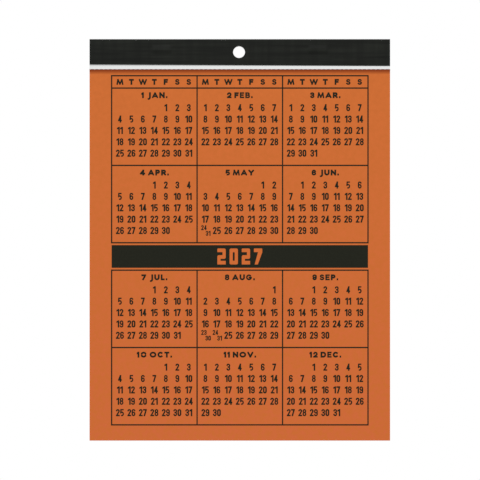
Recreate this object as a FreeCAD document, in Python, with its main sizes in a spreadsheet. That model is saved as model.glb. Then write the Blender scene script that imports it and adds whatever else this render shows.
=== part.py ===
"""A wall calendar: a sheet with the whole year on it over twelve month leaves and a board, stapled
through the head, wrapped in a folded binding tape and punched with one hanging hole.

The frame: +Z is up, the print faces -Y, and the wall is the plane Y = 0. The origin is the centre of
the hanging hole, in the plane of the wall. Everything is in millimetres.
"""

import FreeCAD, Part
import calendar
import math
import os

import Sketcher

YEAR = 2027
MONTH_TITLES = ("1 JAN.", "2 FEB.", "3 MAR.", "4 APR.", "5 MAY", "6 JUN.",
                "7 JUL.", "8 AUG.", "9 SEP.", "10 OCT.", "11 NOV.", "12 DEC.")
MONTHS_ACROSS = 3
BLOCK_ROWS = 2
WEEK_DAYS = 7
WEEK_ROWS = 5
TOLERANCE = 1e-6

# Driving sizes, in millimetres apart from leaf_count. A drop is measured down from the top edge.
SIZES = {
    "sheet_width": 265.0,
    "sheet_height": 354.0,
    "hole_diameter": 10.5,
    "hole_drop": 11.3,
    "sheet_shift": 0.7,
    "board_thickness": 1.0,
    "leaf_thickness": 0.13,
    "leaf_count": 12,
    "cover_thickness": 0.2,
    "tape_width": 50.0,
    "tape_thickness": 0.25,
    "tape_front_left": 22.25,
    "tape_front_right": 23.5,
    "perforation_drop": 26.7,
    "ridge_rise": 0.8,
    "ridge_land": 0.5,
    "ridge_upper_run": 2.7,
    "ridge_lower_run": 4.0,
    "slit_length": 2.4,
    "slit_width": 0.3,
    "slit_pitch": 4.0,
    "staple_spacing": 138.0,
    "staple_drop": 9.2,
    "staple_crown": 12.0,
    "staple_clinch": 4.5,
    "wire_thickness": 0.4,
    "wire_width": 0.6,
    "wire_bend": 0.36,
    "wire_clearance": 0.05,
    "bulge_margin": 1.4,
    "bulge_rounding": 0.36,
    "ink_thickness": 0.05,
    "rule_width": 0.93,
    "frame_width": 226.1,
    "header_drop": 32.2,
    "header_height": 10.9,
    "month_height": 68.2,
    "band_gap": 2.1,
    "band_height": 20.0,
    "weekday_drop": 5.7,
    "weekday_letter_width": 4.6,
    "title_drop": 6.3,
    "title_letter_height": 5.0,
    "title_letter_width": 4.2,
    "title_digit_width": 2.6,
    "title_stop_width": 1.2,
    "title_space": 0.3,
    "title_gap": 1.2,
    "day_drop": 17.3,
    "day_row_pitch": 10.03,
    "day_inset": 7.32,
    "digit_height": 6.25,
    "digit_width": 3.35,
    "digit_gap": 0.35,
    "split_scale": 0.69,
    "split_shift_upper": 1.3,
    "split_shift_lower": 2.4,
    "split_rise": 2.5,
    "numeral_height": 14.5,
    "numeral_width": 7.7,
    "numeral_gap": 3.05,
    "numeral_column": 3.1,
    "numeral_bar": 3.5,
    "numeral_slot": 1.6,
    "numeral_corner": 1.2,
    "seven_foot": 0.5,
}

# What the sizes give, as formulas of the sheet's cells.
LEAVES = "(sizes.leaf_count * sizes.leaf_thickness)"
STACK = f"(sizes.board_thickness + {LEAVES} + sizes.cover_thickness)"
STACK_TOP = "(sizes.hole_drop - sizes.tape_thickness)"
BOTTOM = "(sizes.hole_drop - sizes.sheet_height)"
LEAVES_BACK = "(sizes.tape_thickness + sizes.board_thickness)"
COVER_BACK = f"({LEAVES_BACK} + {LEAVES})"
COVER_FRONT = f"(sizes.tape_thickness + {STACK})"
HEAD_THICKNESS = f"({STACK} + 2 * sizes.tape_thickness)"
TAPE_FOLD = f"({STACK} + sizes.tape_thickness)"
STAPLE_HEIGHT = "(sizes.hole_drop - sizes.staple_drop)"
LEG_OFFSET = "(sizes.staple_crown / 2 - sizes.wire_thickness / 2)"
UPPER_FOOT = f"(sizes.header_drop + sizes.header_height + {BLOCK_ROWS} * sizes.month_height)"
BAND_DROP = f"({UPPER_FOOT} + sizes.band_gap)"
LOWER_DROP = f"({BAND_DROP} + sizes.band_height + sizes.band_gap)"
DAY_COLUMNS = f"(sizes.frame_width / {MONTHS_ACROSS} - 2 * sizes.day_inset)"
DAY_COLUMN_PITCH = f"({DAY_COLUMNS} / ({WEEK_DAYS} - 1))"

doc = FreeCAD.newDocument("wall_calendar")
sheet = doc.addObject("Spreadsheet::Sheet", "sizes")
for row, (alias, size) in enumerate(SIZES.items(), start=1):
    sheet.set(f"A{row}", alias)
    sheet.set(f"B{row}", str(size))
    sheet.setAlias(f"B{row}", alias)
doc.recompute()


def value(formula):
    """The number that a formula of the sheet's cells gives."""
    return float(sheet.evalExpression(formula))


def bind(feature, **formulas):
    """Ties properties of a feature to formulas. A double underscore in a name stands for a dot."""
    for name, formula in formulas.items():
        feature.setExpression(name.replace("__", "."), formula)


def new_body(name, x="0", y="0", z="0"):
    """An empty body at a place given by formulas."""
    body = doc.addObject("PartDesign::Body", name)
    body.Label = name
    bind(body, Placement__Base__x=x, Placement__Base__y=y, Placement__Base__z=z)
    return body


def new_sketch(body, name, role, offset="0"):
    """A sketch on one of the body's origin planes, moved along the plane's normal by a formula."""
    sketch = body.newObject("Sketcher::SketchObject", name)
    plane = [feature for feature in body.Origin.OriginFeatures if feature.Role == role][0]
    sketch.AttachmentSupport = [(plane, "")]
    sketch.MapMode = "FlatFace"
    bind(sketch, AttachmentOffset__Base__z=offset)
    return sketch


def pin_point(sketch, geometry, end, corner):
    """Holds one end of a curve at a corner given by two formulas."""
    for kind, formula in zip(("DistanceX", "DistanceY"), corner):
        constraint = Sketcher.Constraint(kind, -1, 1, geometry, end, value(formula))
        index = sketch.addConstraint(constraint)
        sketch.setExpression(f"Constraints[{index}]", formula)


def tangent_arc(start, end, flat_at_end):
    """The arc from start to end that runs straight up or down at one of them."""
    flat, other = (end, start) if flat_at_end else (start, end)
    across = other.x - flat.x
    along = other.y - flat.y
    radius = (across * across + along * along) / (2 * across)
    centre = FreeCAD.Vector(flat.x + radius, flat.y, 0)
    circle = Part.Circle(centre, FreeCAD.Vector(0, 0, 1), abs(radius))
    first = circle.parameter(start)
    last = circle.parameter(end)
    if (last - first) % math.tau > math.pi:
        first, last = last, first
    return Part.ArcOfCircle(circle, first, last)


def draw_outline(sketch, corners, arcs=None):
    """Draws a closed outline through corners that are pairs of formulas. arcs gives, for a curved
    segment, the straight segment next to it that it runs into without a corner."""
    arcs = arcs or {}
    points = [FreeCAD.Vector(value(across), value(up), 0) for across, up in corners]
    first = len(sketch.Geometry)
    count = len(points)
    ends = []
    for number, start in enumerate(points):
        end = points[(number + 1) % count]
        if number in arcs:
            curve = tangent_arc(start, end, arcs[number] > number)
        else:
            curve = Part.LineSegment(start, end)
        geometry = sketch.addGeometry(curve)
        placed = sketch.Geometry[geometry]
        turned = (placed.StartPoint - start).Length > (placed.EndPoint - start).Length
        ends.append((2, 1) if turned else (1, 2))
    for number, corner in enumerate(corners):
        following = (number + 1) % count
        joint = (first + number, ends[number][1], first + following, ends[following][0])
        smooth = arcs.get(number) == following or arcs.get(following) == number
        sketch.addConstraint(Sketcher.Constraint("Tangent" if smooth else "Coincident", *joint))
        pin_point(sketch, first + number, ends[number][0], corner)


def draw_rectangle(sketch, across, up, width, height):
    """Draws a rectangle about a centre. All four values are formulas."""
    left = f"{across} - ({width}) / 2"
    right = f"{across} + ({width}) / 2"
    low = f"{up} - ({height}) / 2"
    high = f"{up} + ({height}) / 2"
    draw_outline(sketch, ((left, low), (right, low), (right, high), (left, high)))


def draw_hole(sketch):
    """Draws the hanging hole, which lies left of the sheets' middle line by the shift."""
    centre = FreeCAD.Vector(value("-sizes.sheet_shift"), 0, 0)
    circle = Part.Circle(centre, FreeCAD.Vector(0, 0, 1), value("sizes.hole_diameter / 2"))
    geometry = sketch.addGeometry(circle)
    pin_point(sketch, geometry, 3, ("-sizes.sheet_shift", "0"))
    constraint = Sketcher.Constraint("Diameter", geometry, value("sizes.hole_diameter"))
    index = sketch.addConstraint(constraint)
    sketch.setExpression(f"Constraints[{index}]", "sizes.hole_diameter")


def add_pad(body, sketch, length, symmetric=False):
    """Pads a sketch by a formula."""
    pad = body.newObject("PartDesign::Pad", f"{body.Label}_{sketch.Label}_pad")
    pad.Profile = sketch
    pad.SideType = "Symmetric" if symmetric else "One side"
    bind(pad, Length=length)
    doc.recompute()
    return pad


def round_edges(body, base, radius, chosen):
    """Rounds the edges of a body's last feature whose boxes are chosen."""
    names = [f"Edge{number}" for number, edge in enumerate(base.Shape.Edges, start=1)
             if chosen(edge.BoundBox)]
    fillet = body.newObject("PartDesign::Fillet", f"{body.Label}_rounding")
    fillet.Base = (base, names)
    bind(fillet, Radius=radius)
    doc.recompute()


def add_pocket(body, sketch, depth=None, towards_front=False):
    """Cuts a sketch out of a body, by a formula or right through in both ways."""
    pocket = body.newObject("PartDesign::Pocket", f"{body.Label}_{sketch.Label}_pocket")
    pocket.Profile = sketch
    if depth is None:
        pocket.SideType = "Symmetric"
        pocket.Type = "ThroughAll"
    else:
        pocket.Reversed = towards_front
        bind(pocket, Length=depth)
    before = body.Shape.Volume
    doc.recompute()
    if body.Shape.Volume >= before:
        raise RuntimeError(f"{pocket.Label} cuts nothing")
    return pocket


def punch_hole(body):
    """Punches the hanging hole through a body."""
    sketch = new_sketch(body, "hole", "XZ_Plane")
    draw_hole(sketch)
    add_pocket(body, sketch)


def staple_centres():
    """The two staples' places across, as formulas from the sheets' middle line."""
    return ("(-sizes.staple_spacing / 2)", "(sizes.staple_spacing / 2)")


def pierce_for_legs(body):
    """Cuts the four holes that the staples' legs pass through."""
    sketch = new_sketch(body, "leg_holes", "XZ_Plane")
    for centre in staple_centres():
        for side in ("-", "+"):
            draw_rectangle(sketch, f"{centre} {side} {LEG_OFFSET}", STAPLE_HEIGHT,
                           "sizes.wire_thickness + 2 * sizes.wire_clearance",
                           "sizes.wire_width + 2 * sizes.wire_clearance")
    add_pocket(body, sketch)


def perforate(body):
    """Cuts the row of slits along the tear-off line."""
    count = "(floor(sizes.sheet_width / sizes.slit_pitch))"
    height = "(sizes.hole_drop - sizes.perforation_drop)"
    sketch = new_sketch(body, "slit", "XZ_Plane")
    draw_rectangle(sketch, f"-({count} - 1) * sizes.slit_pitch / 2", height,
                   "sizes.slit_length", "sizes.slit_width")
    slit = add_pocket(body, sketch)
    row_of_slits = body.newObject("PartDesign::LinearPattern", f"{body.Label}_slits")
    row_of_slits.Originals = [slit]
    row_of_slits.Direction = (sketch, ["H_Axis"])
    bind(row_of_slits, Occurrences=count, Length=f"({count} - 1) * sizes.slit_pitch")
    body.Tip = row_of_slits
    doc.recompute()


def make_sheet_layer(name, thickness, back):
    """One layer of paper. Below the tape it rises to a ridge where the leaves are perforated, and
    eases back to the flat in a hollow curve."""
    body = new_body(name, x="sizes.sheet_shift", y=f"-{back}")
    profile = new_sketch(body, "profile", "YZ_Plane")
    perforation = "(sizes.hole_drop - sizes.perforation_drop)"
    land_top = f"({perforation} + sizes.ridge_land / 2)"
    land_foot = f"({perforation} - sizes.ridge_land / 2)"
    swell_top = f"({land_top} + sizes.ridge_upper_run)"
    swell_foot = f"({land_foot} - sizes.ridge_lower_run)"
    heights = (STACK_TOP, swell_top, land_top, land_foot, swell_foot, BOTTOM)
    rises = ("0", "0", "sizes.ridge_rise", "sizes.ridge_rise", "0", "0")
    back_face = [(f"-{rise}", height) for rise, height in zip(rises, heights)]
    front_face = [(f"-{rise} - {thickness}", height) for rise, height in zip(rises, heights)]
    draw_outline(profile, back_face + front_face[::-1], arcs={3: 4, 7: 6})
    add_pad(body, profile, "sizes.sheet_width", symmetric=True)
    punch_hole(body)
    pierce_for_legs(body)
    perforate(body)
    return body


def make_backing_board():
    """The plain board at the back, with grooves that the staples' clinched ends sink into."""
    body = new_body("backing_board", x="sizes.sheet_shift", y="-sizes.tape_thickness")
    outline = new_sketch(body, "outline", "XZ_Plane")
    draw_rectangle(outline, "0", f"({STACK_TOP} + {BOTTOM}) / 2", "sizes.sheet_width",
                   f"{STACK_TOP} - {BOTTOM}")
    add_pad(body, outline, "sizes.board_thickness")
    punch_hole(body)
    pierce_for_legs(body)
    grooves = new_sketch(body, "grooves", "XZ_Plane")
    length = "(sizes.staple_clinch + 2 * sizes.wire_clearance)"
    for centre in staple_centres():
        for side in ("-", "+"):
            middle = f"{centre} {side} (sizes.staple_crown / 2 - sizes.staple_clinch / 2)"
            draw_rectangle(grooves, middle, STAPLE_HEIGHT, length,
                           "sizes.wire_width + 2 * sizes.wire_clearance")
    add_pocket(body, grooves, "sizes.wire_thickness + sizes.wire_clearance", towards_front=True)
    return body


def draw_tape_leg(sketch, left_drop, right_drop):
    """Draws one leg of the tape, whose lower edge runs a little out of level."""
    left = "(-sizes.sheet_width / 2)"
    right = "(sizes.sheet_width / 2)"
    draw_outline(sketch, ((left, f"sizes.hole_drop - {left_drop}"),
                          (right, f"sizes.hole_drop - {right_drop}"),
                          (right, "sizes.hole_drop"),
                          (left, "sizes.hole_drop")))


def make_binding_tape():
    """The tape, folded over the head of the stack. It bulges over the crowns of the staples. What its
    width leaves after the front leg and the fold is the back leg."""
    body = new_body("binding_tape", x="sizes.sheet_shift")
    front_leg = new_sketch(body, "front_leg", "XZ_Plane", offset=COVER_FRONT)
    draw_tape_leg(front_leg, "sizes.tape_front_left", "sizes.tape_front_right")
    add_pad(body, front_leg, "sizes.tape_thickness")
    bulges = new_sketch(body, "bulges", "XZ_Plane", offset=f"{COVER_FRONT} + sizes.tape_thickness")
    for centre in staple_centres():
        draw_rectangle(bulges, centre, STAPLE_HEIGHT,
                       "sizes.staple_crown + 2 * sizes.bulge_margin",
                       "sizes.wire_width + 2 * sizes.bulge_margin")
    round_bulges(body, add_pad(body, bulges, "sizes.wire_thickness"))
    fold = new_sketch(body, "fold", "XZ_Plane")
    draw_rectangle(fold, "0", "sizes.hole_drop - sizes.tape_thickness / 2", "sizes.sheet_width",
                   "sizes.tape_thickness")
    add_pad(body, fold, HEAD_THICKNESS)
    back_leg = new_sketch(body, "back_leg", "XZ_Plane")
    draw_tape_leg(back_leg, f"(sizes.tape_width - {TAPE_FOLD} - sizes.tape_front_left)",
                  f"(sizes.tape_width - {TAPE_FOLD} - sizes.tape_front_right)")
    round_fold(body, add_pad(body, back_leg, "sizes.tape_thickness"))
    punch_hole(body)
    pockets = new_sketch(body, "crown_pockets", "XZ_Plane", offset=COVER_FRONT)
    for centre in staple_centres():
        draw_rectangle(pockets, centre, STAPLE_HEIGHT,
                       "sizes.staple_crown + 2 * sizes.wire_clearance",
                       "sizes.wire_width + 2 * sizes.wire_clearance")
    add_pocket(body, pockets, "sizes.wire_thickness + sizes.wire_clearance", towards_front=True)
    return body


def round_bulges(body, base):
    """Rounds the outer edges of the bulges over the staples."""
    outer = -value(f"{COVER_FRONT} + sizes.tape_thickness + sizes.wire_thickness")
    round_edges(body, base, "sizes.bulge_rounding",
                lambda box: abs(box.YMin - outer) < TOLERANCE and box.YLength < TOLERANCE)


def round_fold(body, base):
    """Rounds the two outer edges of the fold, so that the tape keeps its thickness round the stack."""
    top = value("sizes.hole_drop")
    width = value("sizes.sheet_width")
    round_edges(body, base, "sizes.tape_thickness",
                lambda box: abs(box.ZMin - top) < TOLERANCE and box.XLength > width - TOLERANCE)


def make_staple(name, centre):
    """A staple of flat wire: its crown lies on the cover, and its legs go through the stack and are
    clinched towards each other in the back of the board."""
    body = new_body(name, x=f"sizes.sheet_shift + {centre}", z=STAPLE_HEIGHT)
    outline = new_sketch(body, "outline", "XY_Plane")
    half = "sizes.staple_crown / 2"
    inner = f"({half} - sizes.wire_thickness)"
    clinch = f"({half} - sizes.staple_clinch)"
    crown_front = f"-({COVER_FRONT} + sizes.wire_thickness)"
    crown_back = f"-{COVER_FRONT}"
    clinch_front = "-(sizes.tape_thickness + sizes.wire_thickness)"
    clinch_back = "-sizes.tape_thickness"
    right_side = ((half, crown_front), (half, clinch_back), (clinch, clinch_back),
                  (clinch, clinch_front), (inner, clinch_front), (inner, crown_back))
    left_side = [(f"-{across}", up) for across, up in reversed(right_side)]
    draw_outline(outline, list(right_side) + left_side)
    pad = add_pad(body, outline, "sizes.wire_width", symmetric=True)
    reach = value(half)
    round_edges(body, pad, "sizes.wire_bend",
                lambda box: abs(abs(box.XMin) - reach) < TOLERANCE
                and box.XLength < TOLERANCE and box.YLength < TOLERANCE)
    return body


def ink_box(name, left, top_drop, width, height):
    """A flat box of ink on the cover. left is measured from the sheets' middle line."""
    box = doc.addObject("Part::Box", name)
    bind(box, Length=width, Width="sizes.ink_thickness", Height=height,
         Placement__Base__x=f"sizes.sheet_shift + {left}",
         Placement__Base__y=f"-{COVER_FRONT} - sizes.ink_thickness",
         Placement__Base__z=f"sizes.hole_drop - {top_drop} - {height}")
    return box


def make_rule_block(name, top_drop, row_heights):
    """The rules of one block of months: a frame, the columns and the rows."""
    half_rule = "sizes.rule_width / 2"
    left = "-sizes.frame_width / 2"
    total = " + ".join(row_heights)
    bars = []
    for column in range(MONTHS_ACROSS + 1):
        across = f"{left} + sizes.frame_width * {column} / {MONTHS_ACROSS} - {half_rule}"
        bars.append(ink_box(f"{name}_column_{column}", across, f"({top_drop} - {half_rule})",
                            "sizes.rule_width", f"({total} + sizes.rule_width)"))
    for row in range(len(row_heights) + 1):
        drop = " + ".join((top_drop,) + tuple(row_heights[:row]))
        bars.append(ink_box(f"{name}_row_{row}", f"{left} - {half_rule}",
                            f"({drop} - {half_rule})",
                            "(sizes.frame_width + sizes.rule_width)", "sizes.rule_width"))
    block = doc.addObject("Part::MultiFuse", name)
    block.Shapes = bars
    block.Refine = True
    block.Label = name
    return block


def make_printed_rules():
    """The ruled frames above and below the band, as two lattices."""
    months = ("sizes.month_height",) * BLOCK_ROWS
    upper = make_rule_block("upper_rules", "sizes.header_drop", ("sizes.header_height",) + months)
    lower = make_rule_block("lower_rules", LOWER_DROP, months)
    rules = doc.addObject("Part::Compound", "printed_rules")
    rules.Links = [upper, lower]
    rules.Label = "printed_rules"
    return rules


def ink_solid(corners, depth):
    """A flat prism on the cover's face, its outline given as (across, up) in the frame's X and Z."""
    front = -value(COVER_FRONT)
    outline = Part.makePolygon([FreeCAD.Vector(across, front, up) for across, up in corners]
                               + [FreeCAD.Vector(corners[0][0], front, corners[0][1])])
    return Part.Face(outline).extrude(FreeCAD.Vector(0, -depth, 0))


def round_corners(solid, corners, radius):
    """Rounds the upright edges of a prism that stand on the given corners."""
    edges = []
    for edge in solid.Edges:
        box = edge.BoundBox
        stands = box.XLength < TOLERANCE and box.ZLength < TOLERANCE
        for across, up in corners:
            if stands and abs(box.XMin - across) < TOLERANCE and abs(box.ZMin - up) < TOLERANCE:
                edges.append(edge)
    return solid.makeFillet(radius, edges)


def numeral_two(left, low, width, height, depth):
    """A block figure two: three bars joined by a column on the right and one on the left."""
    column = value("sizes.numeral_column")
    bar = value("sizes.numeral_bar")
    slot = value("sizes.numeral_slot")
    right = left + width
    high = low + height
    waist_foot = low + bar + slot
    waist_top = waist_foot + bar
    outline = ((left, low), (right, low), (right, low + bar), (left + column, low + bar),
               (left + column, waist_foot), (right, waist_foot), (right, high), (left, high),
               (left, high - bar), (right - column, high - bar), (right - column, waist_top),
               (left, waist_top))
    rounded = ((right, waist_foot), (right, high), (left, waist_top))
    return round_corners(ink_solid(outline, depth), rounded, value("sizes.numeral_corner"))


def numeral_zero(left, low, width, height, depth):
    """A block figure nought: a rounded frame with a narrow slot."""
    column = value("sizes.numeral_column")
    bar = value("sizes.numeral_bar")
    right = left + width
    high = low + height
    corners = ((left, low), (right, low), (right, high), (left, high))
    slot = ((left + column, low + bar), (right - column, low + bar),
            (right - column, high - bar), (left + column, high - bar))
    body = round_corners(ink_solid(corners, depth), corners, value("sizes.numeral_corner"))
    return body.cut(ink_solid(slot, depth))


def numeral_seven(left, low, width, height, depth):
    """A block figure seven: a bar over a slanting leg."""
    column = value("sizes.numeral_column")
    bar = value("sizes.numeral_bar")
    foot = left + value("sizes.seven_foot")
    right = left + width
    high = low + height
    slant = (right - foot - column) / (height - bar)
    outline = ((left, high), (left, high - bar), (foot + slant * (height - bar), high - bar),
               (foot, low), (foot + column, low), (right, high - bar), (right, high))
    return ink_solid(outline, depth)


NUMERALS = {"0": numeral_zero, "2": numeral_two, "7": numeral_seven}


def make_year_band():
    """The black band, with the figures of the year left clear of ink."""
    depth = value("sizes.ink_thickness")
    width = value("sizes.numeral_width")
    height = value("sizes.numeral_height")
    gap = value("sizes.numeral_gap")
    year = str(YEAR)
    left = value("sizes.sheet_shift") - ((width + gap) * len(year) - gap) / 2
    low = value(f"sizes.hole_drop - {BAND_DROP} - sizes.band_height / 2") - height / 2
    figures = [NUMERALS[figure](left + (width + gap) * place, low, width, height, depth)
               for place, figure in enumerate(year)]
    clear = doc.addObject("Part::Feature", "year_figures")
    clear.Shape = Part.makeCompound(figures)
    field = ink_box("band_field", "-sizes.frame_width / 2", BAND_DROP, "sizes.frame_width",
                    "sizes.band_height")
    band = doc.addObject("Part::Cut", "printed_year_band")
    band.Base = field
    band.Tool = clear
    band.Label = "printed_year_band"
    return band


def ink_block(centre, middle, width, height):
    """A flat rectangle of ink about a point of the cover's face."""
    corner = FreeCAD.Vector(centre - width / 2,
                            -value(f"{COVER_FRONT} + sizes.ink_thickness"),
                            middle - height / 2)
    return Part.makeBox(width, value("sizes.ink_thickness"), height, corner)


def cell_corner(month):
    """The left edge and the top of a month's cell. January is month 0."""
    row, column = divmod(month, MONTHS_ACROSS)
    left = value(f"sizes.sheet_shift - sizes.frame_width / 2"
                 f" + sizes.frame_width * {column} / {MONTHS_ACROSS}")
    if row < BLOCK_ROWS:
        drop = value(f"sizes.header_drop + sizes.header_height + sizes.month_height * {row}")
    else:
        drop = value(f"{LOWER_DROP} + sizes.month_height * {row - BLOCK_ROWS}")
    return left, value("sizes.hole_drop") - drop


def number_width(day):
    """The width of a day's number, of one figure or two."""
    figures = len(str(day))
    return figures * value("sizes.digit_width") + (figures - 1) * value("sizes.digit_gap")


def place_days(month):
    """Where a month's numbers go, as (day, across, down, scale) from the middle of the first row's
    first column. A sixth week shares the fifth row, two small numbers to a place."""
    first_weekday, days = calendar.monthrange(YEAR, month + 1)
    across_pitch = value(DAY_COLUMN_PITCH)
    down_pitch = value("sizes.day_row_pitch")
    scale = value("sizes.split_scale")
    rise = value("sizes.split_rise")
    places = []
    for day in range(1, days + 1):
        week, weekday = divmod(first_weekday + day - 1, WEEK_DAYS)
        across = weekday * across_pitch
        if week == WEEK_ROWS:
            down = (week - 1) * down_pitch + rise
            places.append((day, across + value("sizes.split_shift_lower"), down, scale))
        elif week == WEEK_ROWS - 1 and day + WEEK_DAYS <= days:
            down = week * down_pitch - rise
            places.append((day, across - value("sizes.split_shift_upper"), down, scale))
        else:
            places.append((day, across, week * down_pitch, 1.0))
    return places


def make_day_marks():
    """The numbers of the days, each as one flat block."""
    height = value("sizes.digit_height")
    blocks = []
    for month in range(len(MONTH_TITLES)):
        left, top = cell_corner(month)
        first_across = left + value("sizes.day_inset")
        first_down = top - value("sizes.day_drop")
        for day, across, down, scale in place_days(month):
            blocks.append(ink_block(first_across + across, first_down - down,
                                    number_width(day) * scale, height * scale))
    return new_print("printed_day_marks", blocks)


def sign_width(sign):
    """The width of one letter, figure, stop or space of a month's title."""
    if sign.isalpha():
        return value("sizes.title_letter_width")
    if sign.isdigit():
        return value("sizes.title_digit_width")
    return value("sizes.title_stop_width") if sign == "." else value("sizes.title_space")


def title_blocks(title, centre, middle):
    """A month's title, as a flat block for each of its letters and figures."""
    gap = value("sizes.title_gap")
    height = value("sizes.title_letter_height")
    widths = [sign_width(sign) for sign in title]
    left = centre - (sum(widths) + gap * (len(widths) - 1)) / 2
    blocks = []
    for sign, width in zip(title, widths):
        tall = width if sign == "." else height
        if sign != " ":
            blocks.append(ink_block(left + width / 2, middle - (height - tall) / 2, width, tall))
        left += width + gap
    return blocks


def make_headings():
    """The months' titles, and the initials of the days over each column of months."""
    blocks = []
    for month, title in enumerate(MONTH_TITLES):
        left, top = cell_corner(month)
        centre = left + value(f"sizes.frame_width / {MONTHS_ACROSS} / 2")
        blocks += title_blocks(title, centre, top - value("sizes.title_drop"))
    height = value("sizes.title_letter_height")
    width = value("sizes.weekday_letter_width")
    middle = value("sizes.hole_drop - sizes.header_drop - sizes.weekday_drop")
    for column in range(MONTHS_ACROSS):
        left, top = cell_corner(column)
        for weekday in range(WEEK_DAYS):
            across = left + value(f"sizes.day_inset + {weekday} * {DAY_COLUMN_PITCH}")
            blocks.append(ink_block(across, middle, width, height))
    return new_print("printed_headings", blocks)


def new_print(name, blocks):
    """A node of separate flat blocks of ink."""
    feature = doc.addObject("Part::Feature", name)
    feature.Shape = Part.makeCompound(blocks)
    feature.Placement = FreeCAD.Placement()
    feature.Label = name
    return feature


parts = [
    make_backing_board(),
    make_sheet_layer("month_leaves", LEAVES, LEAVES_BACK),
    make_sheet_layer("cover_sheet", "sizes.cover_thickness", COVER_BACK),
    make_binding_tape(),
    make_staple("staple_left", staple_centres()[0]),
    make_staple("staple_right", staple_centres()[1]),
    make_printed_rules(),
    make_year_band(),
    make_headings(),
    make_day_marks(),
]
doc.recompute()

for item in doc.Objects:
    if "Invalid" in item.State or "Error" in item.State:
        raise RuntimeError(f"{item.Label} failed: {item.State}")
for part in parts:
    if part.Shape.isNull() or not part.Shape.isValid():
        raise RuntimeError(f"{part.Label} has no valid shape")

os.makedirs("parts", exist_ok=True)
for part in parts:
    part.Shape.exportStep(f"parts/{part.Label}.step")
    print(part.Label, len(part.Shape.Solids), "solids", round(part.Shape.Volume, 2), "mm3")
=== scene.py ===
"""The looks of a wall calendar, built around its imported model. All sizes are in metres."""

import calendar
import math

import bmesh
import bpy
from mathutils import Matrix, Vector, geometry


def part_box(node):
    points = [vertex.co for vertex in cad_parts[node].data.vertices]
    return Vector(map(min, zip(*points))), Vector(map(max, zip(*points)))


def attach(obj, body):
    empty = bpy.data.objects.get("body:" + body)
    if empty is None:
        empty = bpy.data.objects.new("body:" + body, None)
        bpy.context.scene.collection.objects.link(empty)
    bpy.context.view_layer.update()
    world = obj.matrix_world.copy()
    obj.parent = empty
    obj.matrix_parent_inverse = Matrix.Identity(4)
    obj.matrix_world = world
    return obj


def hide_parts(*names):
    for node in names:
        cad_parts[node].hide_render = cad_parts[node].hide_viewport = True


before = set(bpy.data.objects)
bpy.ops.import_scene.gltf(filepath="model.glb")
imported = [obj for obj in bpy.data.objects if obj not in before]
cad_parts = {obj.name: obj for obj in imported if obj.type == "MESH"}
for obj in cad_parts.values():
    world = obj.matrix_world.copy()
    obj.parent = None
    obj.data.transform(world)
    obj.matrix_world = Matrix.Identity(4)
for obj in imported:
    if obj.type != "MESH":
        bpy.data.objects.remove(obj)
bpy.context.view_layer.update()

MM = 0.001
YEAR = 2027
MONTH_TITLES = ("1 JAN.", "2 FEB.", "3 MAR.", "4 APR.", "5 MAY", "6 JUN.",
                "7 JUL.", "8 AUG.", "9 SEP.", "10 OCT.", "11 NOV.", "12 DEC.")
WEEKDAY_INITIALS = "MTWTFSS"
MONTHS_ACROSS = 3
BLOCK_ROWS = 2
WEEK_DAYS = 7
WEEK_ROWS = 5

# Sizes of the print that the frame doesn't give.
RULE_WIDTH = 0.93 * MM
RULE_WEIGHT = 1.12 * MM
HEADER_HEIGHT = 10.9 * MM
BAND_GAP = 2.1 * MM
WEEKDAY_DROP = 5.45 * MM
TITLE_DROP = 6.3 * MM
CAPITAL_HEIGHT = 5.1 * MM
CAPITAL_STROKE = 1.5 * MM
LETTER_GAP = 1.05 * MM
WORD_GAP = 1.5 * MM
DAY_INSET = 7.32 * MM
DAY_DROP = 17.3 * MM
DAY_ROW_PITCH = 10.03 * MM
DIGIT_HEIGHT = 6.25 * MM
DIGIT_WIDTH = 3.35 * MM
DIGIT_STROKE = 1.28 * MM
DIGIT_GAP = 0.35 * MM
ONE_WIDTH = 2.45 * MM
SPLIT_SCALE = 0.69
SPLIT_SHIFT_UPPER = 1.3 * MM
SPLIT_SHIFT_LOWER = 2.4 * MM
SPLIT_RISE = 2.5 * MM
NUMERAL_HEIGHT = 14.2 * MM
NUMERAL_WIDTH = 7.4 * MM
NUMERAL_PITCH = 10.75 * MM
NUMERAL_COLUMN = 2.85 * MM
NUMERAL_BAR = 3.3 * MM
NUMERAL_SLOT = 1.7 * MM
NUMERAL_ROUNDING = 1.6 * MM
SLOT_SHARE = 0.9
SEVEN_FOOT = 0.6 * MM
ROUNDING_STEPS = 6

# Sizes of the tape and of the cover.
TAPE_THICKNESS = 0.25 * MM
TAPE_WIDTH = 50.0 * MM
TAPE_FRONT_LEFT = 22.25 * MM
TAPE_FRONT_RIGHT = 23.5 * MM
HOLE_RADIUS = 5.25 * MM
BULGE_REACH = 4.5 * MM
PERFORATION_DROP = 26.7 * MM
TEAR_BLUR = 0.05 * MM
# Where the painted shade under the tear-off line is full and how far down it fades out.
FOLD_SHADE_DROP = 0.3 * MM
FOLD_SHADE_RUN = 4.2 * MM
LEAF_THICKNESS = 0.13 * MM
RIDGE_RISE = 0.8 * MM
RIDGE_TOP_DROP = 23.75 * MM
RIDGE_LAND_DROPS = (26.45 * MM, 26.95 * MM)
RIDGE_FOOT_DROP = 30.95 * MM

# Colours, from 0 to 255.
ORANGE = (207, 109, 48)
ORANGE_LOW = (205, 102, 56)
# The darker, redder orange of the painted shade along the fold under the tear-off line.
ORANGE_FOLD_SHADE = (154, 63, 25)
PAPER_WHITE = (226, 227, 226)
# The cover's bare white, drawn darker than the leaves' white as painted shade; also on its back and
# edges.
SHADED_STRIP_WHITE = (206, 207, 206)
TAPE_BLACK = (22, 24, 20)
INK_BLACK = (31, 32, 23)
BOARD_GREY = (168, 158, 142)
STEEL = (178, 179, 181)

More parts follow.
